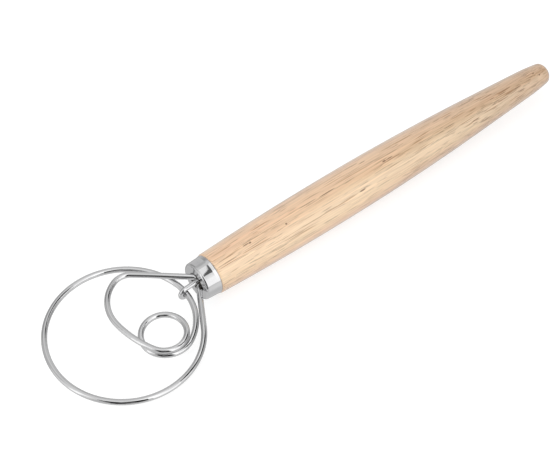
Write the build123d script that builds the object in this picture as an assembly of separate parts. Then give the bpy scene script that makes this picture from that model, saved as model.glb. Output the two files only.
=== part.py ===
"""Dough whisk: a turned wooden handle, a pressed steel ferrule and a head bent from one steel wire.

Millimetres, +Z up. Every piece is drawn with the handle's axis on X and the big ring's centre at x = 0,
the head towards -X. The finished tool is then set down as it lies on a table: the handle's belly and the
low side of the ring touch z = 0, and the origin is under the middle of the tool.
"""
import os
from math import acos, asin, atan, atan2, ceil, cos, degrees, hypot, pi, radians, sin, tan

from build123d import *

# Whole tool
overall_length = 329.0
ring_outer_dia = 80.0

# Wires
wire_dia = 3.0
hook_wire_dia = 2.5
wire_gap = 0.45
leg_gap = 0.2
hook_gap = 0.2
mouth_bend_r = 4.5
grip_depth = 34.0

# Head wire, clockwise seen from above: leg, ring, two elbows, small ring, flank, shoulder, peak, leg
ring_drop = 3.75
ring_sweep = 310.2
elbow_sweep = 78.6
inner_elbow_r = 13.65
inner_elbow_sweep = 80.6
coil_r = 11.15
coil_sweep = 372.4
flank_r = 53.7
flank_sweep = 24.8
shoulder_r = 21.5
shoulder_sweep = 69.7
peak_r = 9.4
coil_rise_share = 1.33

# Hook, over the elbow at this bearing
hook_bearing = -1.8
hook_sweep = 195.0

# Seats of the wires in the bore, as shares of the head wire's diameter
upper_leg_side_share = 0.5
upper_leg_height_share = 1.0
lower_leg_side_share = 0.75

# Ferrule
neck_gap = 5.8
ferrule_length = 8.6
ferrule_front_dia = 20.15
ferrule_back_dia = 21.0
ferrule_wall = 0.6
ferrule_shoulder_r = 1.35
flare_length = 2.0
flare_height = 0.22
flare_edge_r = 0.35
hole_edge_r = 0.25

# Handle, with its places as shares of its length from the ferrule
front_dia = 22.1
front_edge_r = 1.0
belly_dia = 25.65
belly_place_share = 0.342
taper_place_share = 0.7566
taper_dia = 20.0
tail_place_share = 0.9186
rim_dia = 12.2
butt_height = 3.2
butt_edge_r = 2.6

# Fits
bore_clearance = 0.4
bore_overrun = 3.0
drill_point_angle = 118.0
spigot_clearance = 0.05
bond_recess = 0.5

# Longest turn of one arc of a swept wire, and how its gap to itself is measured
arc_step = 60.0
gap_sample = 1.0
neighbour_dias = 4

# Places along the handle's axis
wire_r = wire_dia / 2
hook_wire_r = hook_wire_dia / 2
ring_r = ring_outer_dia / 2 - wire_r
face_x = ring_outer_dia / 2 + neck_gap
front_x = face_x + ferrule_length
butt_x = overall_length - ring_outer_dia / 2
handle_length = butt_x - front_x
belly_r = belly_dia / 2

# Centres of the three wires where they pass the ferrule's hole, as (x, y, z)
upper_seat = Vector(face_x, upper_leg_side_share * wire_dia, upper_leg_height_share * wire_dia)
hook_seat = upper_seat - Vector(0, wire_r + hook_wire_r + hook_gap, 0)
lower_seat = Vector(face_x, -lower_leg_side_share * wire_dia, upper_seat.Z - wire_dia - wire_gap)
bore_r = hypot(upper_seat.Y, upper_seat.Z) + wire_r + bore_clearance


def biarc(start, start_way, end, end_way):
    """Two arcs that leave start along start_way, meet tangentially and reach end along end_way."""
    chord = end - start
    ways = start_way + end_way
    bend = 1 - start_way.dot(end_way)
    along = chord.dot(ways)
    reach = chord.dot(chord) / (along + (along**2 + 2 * bend * chord.dot(chord)) ** 0.5)
    leave = start + start_way * reach
    arrive = end - end_way * reach
    middle = (leave + arrive) * 0.5
    return [
        TangentArc(start, middle, tangent=start_way),
        TangentArc(middle, end, tangent=(arrive - leave).normalized()),
    ]


def route(stations):
    """Wire path through stations, each a point and the way the wire heads there."""
    edges = []
    for (start, start_way), (end, end_way) in zip(stations, stations[1:]):
        straight = (end - start).normalized().dot(start_way) > 1 - 1e-9
        edges += [Line(start, end)] if straight else biarc(start, start_way, end, end_way)
    return Wire(edges)


def swept(stations, diameter):
    """Round wire along stations."""
    start, way = stations[0]
    section = Plane(origin=start, z_dir=way) * Circle(diameter / 2)
    return sweep(section, path=route(stations))


def around(bearing):
    """Unit vector in plan at a bearing in radians."""
    return Vector(cos(bearing), sin(bearing))


def tangent_bearing(centre, radius, point, side):
    """Bearing on a circle where the tangent through an outside point touches it; side is 1 or -1."""
    out = point - centre
    return atan2(out.Y, out.X) + side * acos(radius / hypot(out.X, out.Y))


ring_centre = Vector(0, -ring_drop)
leg_bearing = tangent_bearing(ring_centre, ring_r, lower_seat, -1)
# The elbow turns in just far enough for the wire to pass beside the lower leg.
elbow_r = ring_r - (wire_dia + leg_gap) / (1 - cos(radians(ring_sweep)))


def plan_arcs():
    """Centre, radius, first bearing and turn of each arc of the head, each tangent to the one before."""
    turns = (
        (ring_r, radians(ring_sweep)),
        (elbow_r, radians(elbow_sweep)),
        (inner_elbow_r, radians(inner_elbow_sweep)),
        (coil_r, radians(coil_sweep)),
        (flank_r, radians(flank_sweep)),
        (shoulder_r, radians(shoulder_sweep)),
    )
    arcs = []
    centre, last_r, bearing = ring_centre, ring_r, leg_bearing
    for radius, turn in turns:
        centre = centre + around(bearing) * (last_r - radius)
        arcs.append((centre, radius, bearing, turn))
        last_r = radius
        bearing -= turn
    centre = centre + around(bearing) * (last_r - peak_r)
    leave = tangent_bearing(centre, peak_r, upper_seat, 1)
    arcs.append((centre, peak_r, bearing, (bearing - leave) % (2 * pi)))
    return arcs


def climb(share):
    """Height share and its slope along the climb, level at both ends."""
    share = min(max(share, 0), 1)
    return share - sin(2 * pi * share) / (2 * pi), 1 - cos(2 * pi * share)


def head_loops():
    """Stations of the head's arcs, which climb from the inner elbow to the end of the flank."""
    arcs = plan_arcs()
    lengths = [radius * turn for centre, radius, bearing, turn in arcs]
    climb_start = sum(lengths[:2])
    climb_length = sum(lengths[2:5])
    rise = coil_rise_share * wire_dia
    stations = []
    for index, (centre, radius, bearing, turn) in enumerate(arcs):
        steps = ceil(turn / radians(arc_step))
        for step in range(0 if index == 0 else 1, steps + 1):
            angle = bearing - turn * step / steps
            travelled = sum(lengths[:index]) + radius * turn * step / steps
            height, slope = climb((travelled - climb_start) / climb_length)
            point = centre + around(angle) * radius + Vector(0, 0, rise * height)
            way = Vector(sin(angle), -cos(angle), slope * rise / climb_length)
            stations.append((point, way.normalized()))
    return stations


def mouth_bend(leg_end, seat):
    """Stations of a wire that comes from leg_end, bends at its seat and runs on into the bore."""
    inward = Vector(1, 0, 0)
    way = (seat - leg_end).normalized()
    reach = mouth_bend_r * tan(acos(way.dot(inward)) / 2)
    return [(seat - way * reach, way), (seat + inward * reach, inward), (seat + inward * grip_depth, inward)]


def least_gap(stations, diameter):
    """Smallest air gap between stretches of one wire that are not neighbours along it."""
    path = route(stations)
    count = ceil(path.length / gap_sample)
    points = [path.position_at(index / count) for index in range(count + 1)]
    skip = ceil(neighbour_dias * diameter / gap_sample)
    pairs = ((a, b) for i, a in enumerate(points) for b in points[i + skip :])
    return min((a - b).length for a, b in pairs) - diameter


def reverse(stations):
    """The same wire run from its other end."""
    return [(point, -way) for point, way in reversed(stations)]


def head_stations():
    """Stations of the whole head wire, from the lower leg's end in the bore to the upper leg's."""
    loops = head_loops()
    lower = mouth_bend(loops[0][0], lower_seat)
    upper = mouth_bend(loops[-1][0], upper_seat)
    return reverse(lower) + loops + upper


def hook_stations():
    """Stations of the hook wire: out of the bore, over the elbow, round it and back beneath."""
    centre, radius, bearing, turn = plan_arcs()[1]
    held = centre + around(radians(hook_bearing)) * radius
    curl_r = wire_r + hook_wire_r + hook_gap
    away = (held - Vector(hook_seat.X, hook_seat.Y)).normalized()
    span = (held - Vector(hook_seat.X, hook_seat.Y)).length
    top = tangent_bearing(Vector(0, 0), curl_r, Vector(-span, hook_seat.Z), -1)
    steps = ceil(radians(hook_sweep) / radians(arc_step))
    stations = []
    for step in range(steps + 1):
        angle = top - radians(hook_sweep) * step / steps
        point = held + away * curl_r * cos(angle) + Vector(0, 0, curl_r * sin(angle))
        way = away * sin(angle) - Vector(0, 0, cos(angle))
        stations.append((point, way))
    return reverse(mouth_bend(stations[0][0], hook_seat)) + stations


def turned(*edges):
    """Solid of revolution about the handle's axis from a closed half outline."""
    return revolve(make_face(Wire(edges)), Axis.X)


def rims(solid, x, radius):
    """Circular edges of a turned solid at a place along the axis."""
    near = 1e-4 * overall_length
    circles = solid.edges().filter_by(GeomType.CIRCLE)
    placed = circles.filter_by(lambda edge: abs(edge.arc_center.X - x) < near)
    return placed.filter_by(lambda edge: abs(edge.radius - radius) < near)


def cup(inset):
    """The ferrule's outline as a solid, drawn in by inset."""
    outline = Polyline(
        (face_x + inset, 0),
        (face_x + inset, ferrule_front_dia / 2 - inset),
        (front_x, ferrule_back_dia / 2 - inset),
        (front_x, 0),
        close=True,
    )
    blank = turned(*outline.edges())
    return fillet(rims(blank, face_x + inset, ferrule_front_dia / 2 - inset), ferrule_shoulder_r - inset)


def tube(start, length, outer_r, inner_r=0):
    """Cylinder or ring about the handle's axis that starts at x = start."""
    plane = Plane(origin=(start, 0, 0), z_dir=(1, 0, 0))
    section = Circle(outer_r) - Circle(inner_r) if inner_r else Circle(outer_r)
    return extrude(plane * section, amount=length)


def make_ferrule():
    """Pressed cup with a rounded shoulder, a hole for the wires and an end flared out to the wood."""
    flare_x = front_x - flare_length
    back_r = ferrule_back_dia / 2
    taper = (ferrule_back_dia - ferrule_front_dia) / 2 / ferrule_length
    outline = Polyline(
        (flare_x, 0),
        (flare_x, back_r - taper * flare_length),
        (front_x, back_r + flare_height),
        (front_x, 0),
        close=True,
    )
    flare = fillet(rims(turned(*outline.edges()), front_x, back_r + flare_height), flare_edge_r)
    shell = cup(0) + flare - cup(ferrule_wall) - tube(face_x, ferrule_length, bore_r)
    return fillet(rims(shell, face_x, bore_r), hole_edge_r)


def handle_outline():
    """Edges of the handle's long side, front to butt: belly arcs, straight taper, rounded tail, dome."""
    front = Vector(front_x, front_dia / 2)
    belly = Vector(front_x + belly_place_share * handle_length, belly_r)
    taper = Vector(front_x + taper_place_share * handle_length, taper_dia / 2)
    fall = 2 * atan((belly.Y - taper.Y) / (taper.X - belly.X))
    tail_run = (tail_place_share - taper_place_share) * handle_length
    tail = taper + Vector(tail_run, -tail_run * tan(fall))
    rim = Vector(butt_x - butt_height, rim_dia / 2)
    butt = Vector(butt_x, 0)
    return [
        TangentArc(belly, front, tangent=(-1, 0)),
        TangentArc(belly, taper, tangent=(1, 0)),
        Line(taper, tail),
        TangentArc(tail, rim, tangent=Vector(cos(fall), -sin(fall))),
        TangentArc(butt, rim, tangent=(0, 1)),
    ]


def make_handle():
    """Turned handle with a spigot for the ferrule and a drilled blind bore for the wires."""
    spigot_x = face_x + ferrule_wall + spigot_clearance
    closing = Polyline((butt_x, 0), (front_x, 0), (front_x, front_dia / 2))
    body = turned(*handle_outline(), *closing.edges())
    body = fillet(rims(body, butt_x - butt_height, rim_dia / 2), butt_edge_r)
    body = fillet(rims(body, front_x, front_dia / 2), front_edge_r)
    spigot = cup(ferrule_wall + spigot_clearance)
    drill_end = face_x + grip_depth + bore_overrun
    drill_tip = bore_r / tan(radians(drill_point_angle / 2))
    drill = turned(
        *Polyline(
            (spigot_x, 0), (spigot_x, bore_r), (drill_end, bore_r), (drill_end + drill_tip, 0), close=True
        ).edges()
    )
    return body + spigot - drill


def make_bond_plug(wires):
    """Set adhesive that fills the bore round the wires, up into the ferrule's hole."""
    start = face_x + bond_recess
    return tube(start, grip_depth + bore_overrun - bond_recess, bore_r) - wires


def lying():
    """Placement of the tool on the table, rolled until the ring's low side touches beside the belly."""
    roll = asin((belly_r - wire_r) / (ring_r + ring_drop))
    middle_x = butt_x - overall_length / 2
    return Pos(-middle_x, ring_drop * cos(roll), belly_r) * Rot(X=degrees(roll))


def make_parts():
    """Every piece under its node's name, in the drawing frame."""
    head_wire = swept(head_stations(), wire_dia)
    hook_wire = swept(hook_stations(), hook_wire_dia)
    return {
        "handle": make_handle(),
        "ferrule": make_ferrule(),
        "head_wire": head_wire,
        "hook_wire": hook_wire,
        "bond_plug": make_bond_plug(head_wire + hook_wire),
    }


if __name__ == "__main__":
    os.makedirs("parts", exist_ok=True)
    for name, piece in make_parts().items():
        export_step(lying() * piece, f"parts/{name}.step")
        print(f"{name}: {piece.volume:.1f} mm3")
    print(f"least gap of the head wire to itself: {least_gap(head_stations(), wire_dia):.2f} mm")
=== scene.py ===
"""The dough whisk dressed for its picture: an oiled rubberwood handle, a pressed steel ferrule and
a polished steel wire head, lying on a white table under soft studio light."""
import math

import bpy
from mathutils import Matrix, Vector

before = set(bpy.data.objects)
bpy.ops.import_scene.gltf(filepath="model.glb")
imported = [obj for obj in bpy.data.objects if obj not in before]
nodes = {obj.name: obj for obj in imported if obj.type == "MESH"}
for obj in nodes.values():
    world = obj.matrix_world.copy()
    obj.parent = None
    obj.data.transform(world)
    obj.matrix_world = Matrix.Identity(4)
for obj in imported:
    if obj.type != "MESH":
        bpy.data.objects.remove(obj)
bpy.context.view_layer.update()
scene = bpy.context.scene

# Wooden handle: rubberwood turned between centres, sanded and oiled. The cream wood has tan and
# pinkish streaks along its length, and its open vessels show as short brown dashes, or as dots on
# the butt.


class Value:
    """One output of a shader node. A sum on it adds a Math node, or Vector Math if it is a vector."""

    def __init__(self, tree, output=None):
        self.tree = tree
        self.output = output

    def node(self, kind, settings=None, sockets=None, out=0):
        """Adds a node: its settings first, then the values or links of its sockets. Returns one
        output, by its place or its name."""
        made = self.tree.nodes.new("ShaderNode" + kind)
        for name, setting in (settings or {}).items():
            setattr(made, name, setting)
        for name, value in (sockets or {}).items():
            socket = [s for s in made.inputs if s.enabled and name in (s.name, s.identifier)][0]
            if isinstance(value, Value):
                self.tree.links.new(value.output, socket)
            elif socket.type == "RGBA":
                socket.default_value = (*value, 1.0)
            else:
                socket.default_value = value
        outputs = [o for o in made.outputs if o.enabled]
        return Value(self.tree, outputs[out] if isinstance(out, int) else made.outputs[out])

    def maths(self, operation, *terms):
        vector = any(isinstance(t, Value) and t.output.type in ("VECTOR", "RGBA") for t in terms)
        made = self.tree.nodes.new("ShaderNodeVectorMath" if vector else "ShaderNodeMath")
        made.operation = operation
        for socket, term in zip(made.inputs, terms):
            if isinstance(term, Value):
                self.tree.links.new(term.output, socket)
            elif vector and isinstance(term, (int, float)) and socket.type == "VECTOR":
                socket.default_value = (term, term, term)
            else:
                socket.default_value = term
        return Value(self.tree, [o for o in made.outputs if o.enabled][0])

    def __add__(self, other):
        return self.maths("ADD", self, other)

    def __sub__(self, other):
        return self.maths("SUBTRACT", self, other)

    def __rsub__(self, other):
        return self.maths("SUBTRACT", other, self)

    def __mul__(self, other):
        return self.maths("MULTIPLY", self, other)

    def __truediv__(self, other):
        return self.maths("DIVIDE", self, other)

    __radd__ = __add__
    __rmul__ = __mul__

    def __abs__(self):
        return self.maths("ABSOLUTE", self)

    def maximum(self, other):
        return self.maths("MAXIMUM", self, other)

    def dot(self, way):
        return self.maths("DOT_PRODUCT", self, way)

    def length(self):
        return self.maths("LENGTH", self)

    def step(self, low, high):
        """Goes smoothly from 0 at low to 1 at high."""
        settings = {"interpolation_type": "SMOOTHSTEP"}
        return self.node("MapRange", settings, {"Value": self, "From Min": low, "From Max": high})

    def mix(self, a, b):
        """Colour a where this value is 0 and b where it is 1."""
        return self.node("Mix", {"data_type": "RGBA"}, {"Factor": self, "A": a, "B": b})

    def noise(self, detail=2.0, roughness=0.5, out=0):
        sockets = {"Vector": self, "Scale": 1.0, "Detail": detail, "Roughness": roughness}
        return self.node("TexNoise", None, sockets, out)

    def bump(self, strength, distance):
        """The normal of a surface that rises by a distance in metres where this value is 1."""
        sockets = {"Strength": strength, "Distance": distance, "Height": self}
        return self.node("Bump", None, sockets)


def finish_of(name, piece):
    """Gives a piece a new material. Returns its shader, and the place of the point that is shaded."""
    material = bpy.data.materials.new(name)
    material.use_nodes = True
    for slot in piece.material_slots:
        slot.material = material
    place = Value(material.node_tree).node("TexCoord", out="Object")
    return material.node_tree.nodes["Principled BSDF"], place


def plug(shader, **sockets):
    """Sets or links a node's sockets. An underscore stands for a space in a socket's name."""
    for name, value in sockets.items():
        socket = shader.inputs[name.replace("_", " ")]
        if isinstance(value, Value):
            value.tree.links.new(value.output, socket)
        elif socket.type == "RGBA":
            socket.default_value = (*value, 1.0)
        else:
            socket.default_value = value


mm = 0.001
handle_axis = (0.0, 0.003613, 0.012825)
pale_wood = (0.88, 0.685, 0.455)
tan_wood = (0.79, 0.535, 0.345)
blush_wood = (0.72, 0.43, 0.27)
line_brown = (0.42, 0.21, 0.09)
pore_brown = (0.2, 0.1, 0.05)

shader, place = finish_of("oiled_rubberwood", nodes["handle"])
along = place.dot((1.0, 0.0, 0.0))
inside = place - handle_axis
sway = 0.7 * mm
wander = (place * (9.0, 40.0, 40.0)).noise(1.0, 0.5, "Color") - 0.5
fibre = inside + wander * (0.0, sway, sway)


def grain(waves_along, waves_across, detail=2.0, shift=0.0):
    """Noise drawn out along the swaying fibre: waves per metre, finer octaves and where it starts."""
    return (fibre * (waves_along, waves_across, waves_across) + shift).noise(detail)


# The ground: a pale layer along the front of the handle, which is long and thins out slowly, broad
# bands in the tan wood round it, and pinkish patches.
layer_middle = (0.0, -11.8 * mm, 5.2 * mm)
layer_core, layer_reach = 3.5 * mm, 10.5 * mm
layer_thinning = 0.03
away = (fibre - layer_middle) * (layer_thinning, 1.0, 1.0)
pale = away.length().step(layer_reach, layer_core)
bands = grain(5.0, 260.0).step(0.3, 0.7)
colour = (pale * 0.55 + bands * 0.15).mix(tan_wood, pale_wood)
blush = grain(8.0, 330.0, 2.0, 7.0).step(0.45, 0.7)
colour = (blush * (0.4 - pale * 0.2)).mix(colour, blush_wood)

# Fine lines, and brown dashes that gather in places. The wood darkens from its middle to the butt.
butt_end = 0.15
butt_shade = 0.2
lines = grain(20.0, 1500.0, 0.0)
colour = colour * (lines * 0.4 + 0.85)
gather = grain(12.0, 420.0, 1.0, 9.0).step(0.42, 0.62)
dashes = grain(42.0, 1600.0, 0.0, 5.0).step(0.6, 0.74)
colour = (dashes * (gather * 0.5 + 0.25)).mix(colour, line_brown)
colour = colour * (1.0 - along.step(0.0, butt_end) * butt_shade)

# Small pores, crowded in places.
crowd = grain(14.0, 260.0, 2.0, 3.0)
pores = (grain(70.0, 2000.0, 1.0) + crowd * 0.25).step(0.74, 0.79) * 0.5

# Larger vessels: place along the handle, turn round its axis in degrees, half length, half width.
radius = (inside * (0.0, 1.0, 1.0)).length()
turn = along.maths("ARCTAN2", inside.dot((0.0, 0.0, 1.0)), inside.dot((0.0, 1.0, 0.0)))
vessels_mm = (
    (-49.9, 119.8, 2.2, 0.28), (-47.6, 120.8, 0.8, 0.50), (-25.7, 127.7, 0.6, 0.50),
    (-9.5, 113.1, 6.0, 0.18), (3.0, 114.7, 5.5, 0.26), (21.1, 153.2, 2.1, 0.42),
    (30.6, 92.3, 2.2, 0.22), (40.7, 120.3, 1.3, 0.42), (44.1, 120.3, 2.6, 0.22),
    (85.8, 128.4, 4.2, 0.16), (102.6, 153.9, 3.0, 0.22), (118.9, 122.4, 2.0, 0.18),
    (126.5, 124.9, 3.2, 0.18), (137.5, 134.3, 3.0, 0.20), (139.3, 151.8, 2.6, 0.22),
    (151.8, 117.5, 0.7, 0.30), (155.0, 136.0, 0.6, 0.50),
)
for middle, bearing, half_length, half_width in vessels_mm:
    lengthwise = (along - middle * mm) / (half_length * mm)
    across = (turn - math.radians(bearing)) * radius / (half_width * mm)
    reach = lengthwise * lengthwise + across * across
    pores = pores.maximum(reach.step(1.3, 0.4))
colour = (pores * 0.9).mix(colour, pore_brown)

# The oiled surface: the grain stands up a little, and the pores are sunk and dull.
streaks = grain(12.0, 1100.0)
bump = (streaks * 0.3 + lines * 0.3 - pores).bump(0.35, 0.2 * mm)
dull = grain(20.0, 240.0)
plug(shader, Base_Color=colour, Roughness=dull * 0.14 + pores * 0.2 + 0.3, Normal=bump)
plug(shader, Sheen_Weight=0.45, Sheen_Roughness=0.35, Coat_Weight=1.0, Coat_Roughness=0.2)

# Ferrule: a cup pressed from stainless sheet and pushed over the handle's spigot. It was polished
# while it turned, so its faint lines run round it, and in circles on its front.

lines_per_metre = 5200.0

shader, place = finish_of("polished_ferrule_steel", nodes["ferrule"])
radius = ((place - handle_axis) * (0.0, 1.0, 1.0)).length()
along = place.dot((lines_per_metre, 0.0, 0.0))
turned = place.node("CombineXYZ", None, {"X": along, "Y": radius * lines_per_metre})
lines = (turned + place * 90.0).noise(2.0, 0.6)
smears = (place * 210.0).noise()
steel = smears.mix((0.58, 0.58, 0.59), (0.67, 0.67, 0.67))
rough = lines * 0.03 + smears * 0.05 + 0.02
bump = lines.bump(0.08, 0.02 * mm)
plug(shader, Base_Color=steel, Metallic=1.0, Roughness=rough, Normal=bump)

# Head and hook: hard stainless wire, bent cold and tumbled to a bright polish. It keeps faint nicks
# and a slightly uneven shine. Both wires end in the handle's bore.

for name in ("head_wire", "hook_wire"):
    shader, place = finish_of("polished_" + name, nodes[name])
    smears = (place * 130.0).noise(3.0, 0.6)
    nicks = (place * (900.0, 900.0, 1500.0)).noise(2.0, 0.6)
    steel = smears.mix((0.64, 0.64, 0.65), (0.70, 0.70, 0.70))
    rough = smears * 0.05 + nicks * 0.02 + 0.01
    bump = nicks.bump(0.06, 0.02 * mm)
    plug(shader, Base_Color=steel, Metallic=1.0, Roughness=rough, Normal=bump)

# Adhesive: the dark set resin in the handle's bore that holds the three wire ends. It has settled
# in a dull, slightly pitted surface. Its near-black colour is partly the resin's own and partly
# painted shade, the shade that lies deep in the hole.

shader, place = finish_of("set_adhesive_and_painted_hole_shade", nodes["bond_plug"])
grit = (place * 1400.0).noise(3.0, 0.6)
bump = grit.bump(0.5, 0.2 * mm)
# Near black: the resin's own dark colour together with painted shade of the deep bore.
resin_and_hole_shade = grit.mix((0.02, 0.016, 0.012), (0.05, 0.04, 0.03))
plug(shader, Base_Color=resin_and_hole_shade, Roughness=grit * 0.3 + 0.35, Normal=bump)

# White table, which isn't part of the whisk: a smooth sheet of card, far wider than the picture.
# The steel doesn't mirror it, and for the camera it glows, so that it fades into the background.


def sheet_of(name, corners, faces):
    """Makes a thin sheet with a material of its own. Returns it and the material's nodes."""
    mesh = bpy.data.meshes.new(name)
    mesh.from_pydata(corners, [], faces)
    sheet = bpy.data.objects.new(name, mesh)
    scene.collection.objects.link(sheet)
    material = bpy.data.materials.new(name)
    material.use_nodes = True
    mesh.materials.append(material)
    return sheet, material.node_tree


def grey(level):
    return (level, level, level)


table_half = 3.0
corners = [(-1, -1), (1, -1), (1, 1), (-1, 1)]
corners = [(x * table_half, y * table_half, 0.0) for x, y in corners]
table, tree = sheet_of("table", corners, [(0, 1, 2, 3)])
table.visible_glossy = False
seen = Value(tree).node("LightPath", out="Is Camera Ray")
card = seen.node("BsdfDiffuse", None, {"Color": seen.mix(grey(0.85), grey(1.5))})
white = seen.node("Emission", None, {"Color": grey(1.0), "Strength": 1.0})
glow = seen.node("MixShader", None, {"Fac": seen * 0.75, "Shader": card, "Shader_001": white})
plug(tree.nodes["Material Output"], Surface=glow)

# Studio: grey walls with a tall softbox in front and another beyond the head. Dark screens hang
# between the two and over the butt, and draw the steel's dark lines.

world = bpy.data.worlds.new("studio")
scene.world = world
world.use_nodes = True
way = Value(world.node_tree).node("TexCoord", out="Generated")


def panel(light, strength, azimuth, elevation, half_width, half_height, edge=0.04, tilt=0.0):
    """Hangs a flat panel before the light that is there: where its middle is and how far it reaches
    in degrees, how wide its soft edge is, and how far it is tilted."""
    turn = Matrix.Identity(3)
    for axis, angle in (("Z", azimuth), ("Y", -elevation), ("X", tilt)):
        turn = turn @ Matrix.Rotation(math.radians(angle), 3, axis)
    ahead, left, up = (tuple(turn @ Vector(axis)) for axis in ((1, 0, 0), (0, 1, 0), (0, 0, 1)))
    depth = way.dot(ahead)
    safe = depth.maximum(0.001)
    aside = abs(way.dot(left) / safe)
    above = abs(way.dot(up) / safe)
    wide = math.tan(math.radians(half_width))
    high = math.tan(math.radians(half_height))
    mask = aside.step(wide + edge, wide - edge) * above.step(high + edge, high - edge)
    return (mask * depth.step(0.0, 0.02)).mix(light, grey(strength))


panels = (
    # Behind the handle and past its butt: grey walls.
    (0.42, 68, -38, 34, 24, 0.15),
    (0.72, 64, 18, 12, 30, 0.1),
    (0.42, 97, 32, 16, 22, 0.1),
    (0.74, 16, 22, 12, 28, 0.2),
    (0.5, -16, 8, 18, 38, 0.15),
    # High past the butt: two dark screens.
    (0.05, -18, 43, 12, 17, 0.1),
    (0.0, -31, 47, 20, 13, 0.05, 30),
    # To the right of the front softbox, over it and under it: light cards.
    (1.12, -58, 8, 16, 20, 0.1),
    (1.05, -96, 68, 22, 11, 0.12),
    (0.95, -76, -32, 19, 16, 0.2),
    # The front softbox, with a dimmer patch and a bright strip.
    (1.45, -78, 23, 16, 39),
    (1.05, -65, 40, 7, 17, 0.08),
    (1.6, -91, 25, 5, 38),
    # Beyond the head: a light card, and the second softbox with its bright strip.
    (0.9, 155, -2, 10, 34, 0.12),
    (0.95, -175, 22, 21, 42, 0.1, -20),
    (1.42, -177, 16, 7, 34, 0.04, -20),
    # Between the softboxes: a dark screen, and three black ones before it.
    (0.27, -123, 11, 23, 37),
    (0.05, -134, 9, 7, 37),
    (0.0, -107, 21, 6, 24),
    (0.0, -121, 14, 4, 13),
)
rise = way.dot((0.0, 0.0, 1.0))
light = rise.step(-0.6, -0.3).mix(grey(0.74), grey(0.62))
light = rise.step(0.85, 0.93).mix(light, grey(0.85))
for measures in panels:
    light = panel(light, *measures)
light = light.node("LightPath", out="Is Camera Ray").mix(light, grey(1.0))
plug(world.node_tree.nodes["Background"], Color=light, Strength=1.0)

# Two cards over the ferrule, which only the steel sees: a grey strip, mirrored as the dark wedge
# across the ferrule's side, and a white one behind it, mirrored as the light patch beside the
# wedge. Each two points are the ends of one rung of the strip.

cards = (
    ("wedge_card", 0.15, (
        (-0.0626, -0.0383, 0.0665), (-0.0626, -0.0416, 0.0637),
        (-0.0611, -0.0324, 0.0706), (-0.0612, -0.0422, 0.0633),
        (-0.0592, -0.0263, 0.0739), (-0.0593, -0.0425, 0.0630),
        (-0.0581, -0.0202, 0.0764), (-0.0583, -0.0429, 0.0628),
        (-0.0573, -0.0033, 0.0800), (-0.0576, -0.0433, 0.0623),
        (-0.0566, 0.0075, 0.0799), (-0.0572, -0.0434, 0.0623),
        (-0.0555, 0.0075, 0.0799), (-0.0560, -0.0434, 0.0624))),
    ("white_card", 1.2, (
        (-0.0780, 0.0080, 0.0890), (-0.0780, -0.0405, 0.0757),
        (-0.0530, 0.0082, 0.0853), (-0.0535, -0.0482, 0.0655))),
)
for name, strength, edges in cards:
    faces = [(i, i + 1, i + 3, i + 2) for i in range(0, len(edges) - 2, 2)]
    card, tree = sheet_of(name, edges, faces)
    for rays in ("camera", "diffuse", "shadow", "transmission"):
        setattr(card, "visible_" + rays, False)
    glow = Value(tree).node("Emission", None, {"Color": grey(1.0), "Strength": strength})
    plug(tree.nodes["Material Output"], Surface=glow)

# Three soft lamps that neither the camera nor the steel sees. They bring the wood to a plain level.


def aimed(place, target, roll=0.0):
    """Where something stands that looks from its place at a target, rolled by some degrees."""
    sight = (target - place).to_track_quat("-Z", "Y").to_matrix()
    turn = sight @ Matrix.Rotation(-math.radians(roll), 3, "Z")
    return Matrix.Translation(place) @ turn.to_4x4()


whisk_middle = Vector((0.0, 0.0, 0.0))
lamp_size = 0.55
lamps = (
    ("front_lamp", (-0.15, -0.75, 0.42), 1.85),
    ("head_lamp", (-0.75, -0.05, 0.45), 1.4),
    ("back_lamp", (0.15, 0.75, 0.65), 1.2),
)
for name, spot, watts in lamps:
    data = bpy.data.lights.new(name, "AREA")
    data.size = lamp_size
    data.energy = watts
    lamp = bpy.data.objects.new(name, data)
    scene.collection.objects.link(lamp)
    lamp.matrix_world = aimed(Vector(spot), whisk_middle)
    lamp.visible_camera = False
    lamp.visible_glossy = False

# Camera: in front of the whisk, past its head and half a metre above the table. It looks through a
# long lens, and the whisk lies across the picture from the lower left to the upper right.

camera_place = Vector((-0.34358, -0.51065, 0.51457))
camera_aim = Vector((-0.02423, 0.00935, 0.012825))
camera_roll = 9.764
sensor_mm = 36.0
lens_mm = 100.8

lens = bpy.data.cameras.new("camera")
lens.sensor_width = sensor_mm
lens.lens = lens_mm
camera = bpy.data.objects.new("camera", lens)
scene.collection.objects.link(camera)
camera.matrix_world = aimed(camera_place, camera_aim, camera_roll)
scene.camera = camera
scene.view_settings.view_transform = "Standard"
